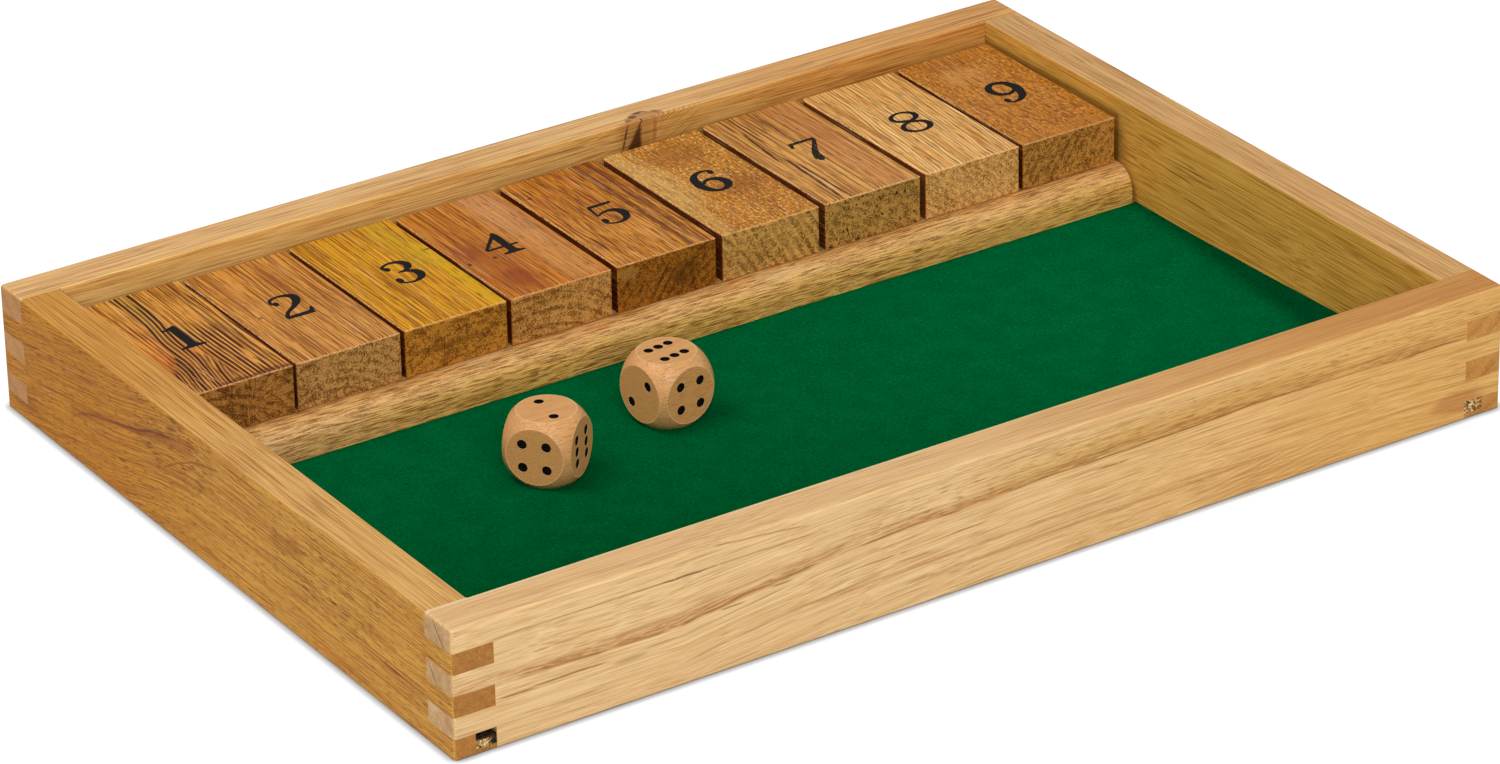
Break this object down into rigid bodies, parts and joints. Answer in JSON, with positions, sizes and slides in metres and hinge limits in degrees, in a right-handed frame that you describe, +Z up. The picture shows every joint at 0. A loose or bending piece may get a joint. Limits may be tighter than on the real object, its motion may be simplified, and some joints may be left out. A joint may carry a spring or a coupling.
{
  "type": "shut the box game",
  "caption": "Shallow finger-jointed wooden tray with felt floor, a row of numbered wooden tiles that flip up on one hidden rod, and wooden dice.",
  "frame": {"origin": "centre of the box's footprint, on the surface it stands on", "axes": "+X along the row of tiles from 1 to 9, +Y from the felt side to the tiles' hinge, +Z up"},
  "size_m": [0.34, 0.243, 0.038],
  "materials": {
    "front_wood": "light varnished pine-like board, long grain, end grain at the finger joints",
    "back_wood": "varnished tan board with one knot",
    "left_wood": "varnished amber-brown board",
    "right_wood": "varnished olive-brown board",
    "panel_wood": "plain thin plywood",
    "felt": "deep green felt",
    "divider_wood": "light tan varnished strip",
    "rod_steel": "plain drawn steel",
    "dice_wood": "oiled beech-like wood with black painted pips",
    "putty": "pale rough wood filler",
    "tile_1_wood": "varnished wood, golden with dark brown lines",
    "tile_2_wood": "varnished wood, orange-brown straight grain",
    "tile_3_wood": "varnished wood, bright yellow-gold with brown stripes",
    "tile_4_wood": "varnished wood, orange-tan with a reddish patch",
    "tile_5_wood": "varnished wood, reddish-brown stripes",
    "tile_6_wood": "varnished wood, yellow-brown mottled",
    "tile_7_wood": "varnished wood, orange-tan with dark red-brown lines",
    "tile_8_wood": "varnished wood, pale gold with stripes",
    "tile_9_wood": "varnished wood, plain orange-brown"
  },
  "bodies": {
    "box": {"front_board": "front_wood", "back_board": "back_wood", "left_board": "left_wood", "right_board": "right_wood", "bottom_panel": "panel_wood", "filler_front_left": "putty", "filler_front_right": "putty", "filler_back_left": "putty", "filler_back_right": "putty", "felt_mat": "felt", "divider_strip": "divider_wood", "hinge_rod": "rod_steel"},
    "tile_1": {"tile_1": "tile_1_wood"},
    "tile_2": {"tile_2": "tile_2_wood"},
    "tile_3": {"tile_3": "tile_3_wood"},
    "tile_4": {"tile_4": "tile_4_wood"},
    "tile_5": {"tile_5": "tile_5_wood"},
    "tile_6": {"tile_6": "tile_6_wood"},
    "tile_7": {"tile_7": "tile_7_wood"},
    "tile_8": {"tile_8": "tile_8_wood"},
    "tile_9": {"tile_9": "tile_9_wood"},
    "die_left": {"die_left": "dice_wood"},
    "die_right": {"die_right": "dice_wood"}
  },
  "joints": [
    {"name": "tile_1_hinge", "type": "hinge", "parent": "box", "child": "tile_1", "pos_m": [0, 0.0934, 0.0256], "axis": [-1, 0, 0], "range_deg": [0, 119]},
    {"name": "tile_2_hinge", "type": "hinge", "parent": "box", "child": "tile_2", "pos_m": [0, 0.0934, 0.0256], "axis": [-1, 0, 0], "range_deg": [0, 119]},
    {"name": "tile_3_hinge", "type": "hinge", "parent": "box", "child": "tile_3", "pos_m": [0, 0.0934, 0.0256], "axis": [-1, 0, 0], "range_deg": [0, 119]},
    {"name": "tile_4_hinge", "type": "hinge", "parent": "box", "child": "tile_4", "pos_m": [0, 0.0934, 0.0256], "axis": [-1, 0, 0], "range_deg": [0, 119]},
    {"name": "tile_5_hinge", "type": "hinge", "parent": "box", "child": "tile_5", "pos_m": [0, 0.0934, 0.0256], "axis": [-1, 0, 0], "range_deg": [0, 119]},
    {"name": "tile_6_hinge", "type": "hinge", "parent": "box", "child": "tile_6", "pos_m": [0, 0.0934, 0.0256], "axis": [-1, 0, 0], "range_deg": [0, 119]},
    {"name": "tile_7_hinge", "type": "hinge", "parent": "box", "child": "tile_7", "pos_m": [0, 0.0934, 0.0256], "axis": [-1, 0, 0], "range_deg": [0, 119]},
    {"name": "tile_8_hinge", "type": "hinge", "parent": "box", "child": "tile_8", "pos_m": [0, 0.0934, 0.0256], "axis": [-1, 0, 0], "range_deg": [0, 119]},
    {"name": "tile_9_hinge", "type": "hinge", "parent": "box", "child": "tile_9", "pos_m": [0, 0.0934, 0.0256], "axis": [-1, 0, 0], "range_deg": [0, 119]},
    {"name": "die_left_lift", "type": "slide", "parent": "box", "child": "die_left", "axis": [0, 0, 1], "range_m": [0, 0.06]},
    {"name": "die_right_lift", "type": "slide", "parent": "box", "child": "die_right", "axis": [0, 0, 1], "range_m": [0, 0.06]}
  ]
}
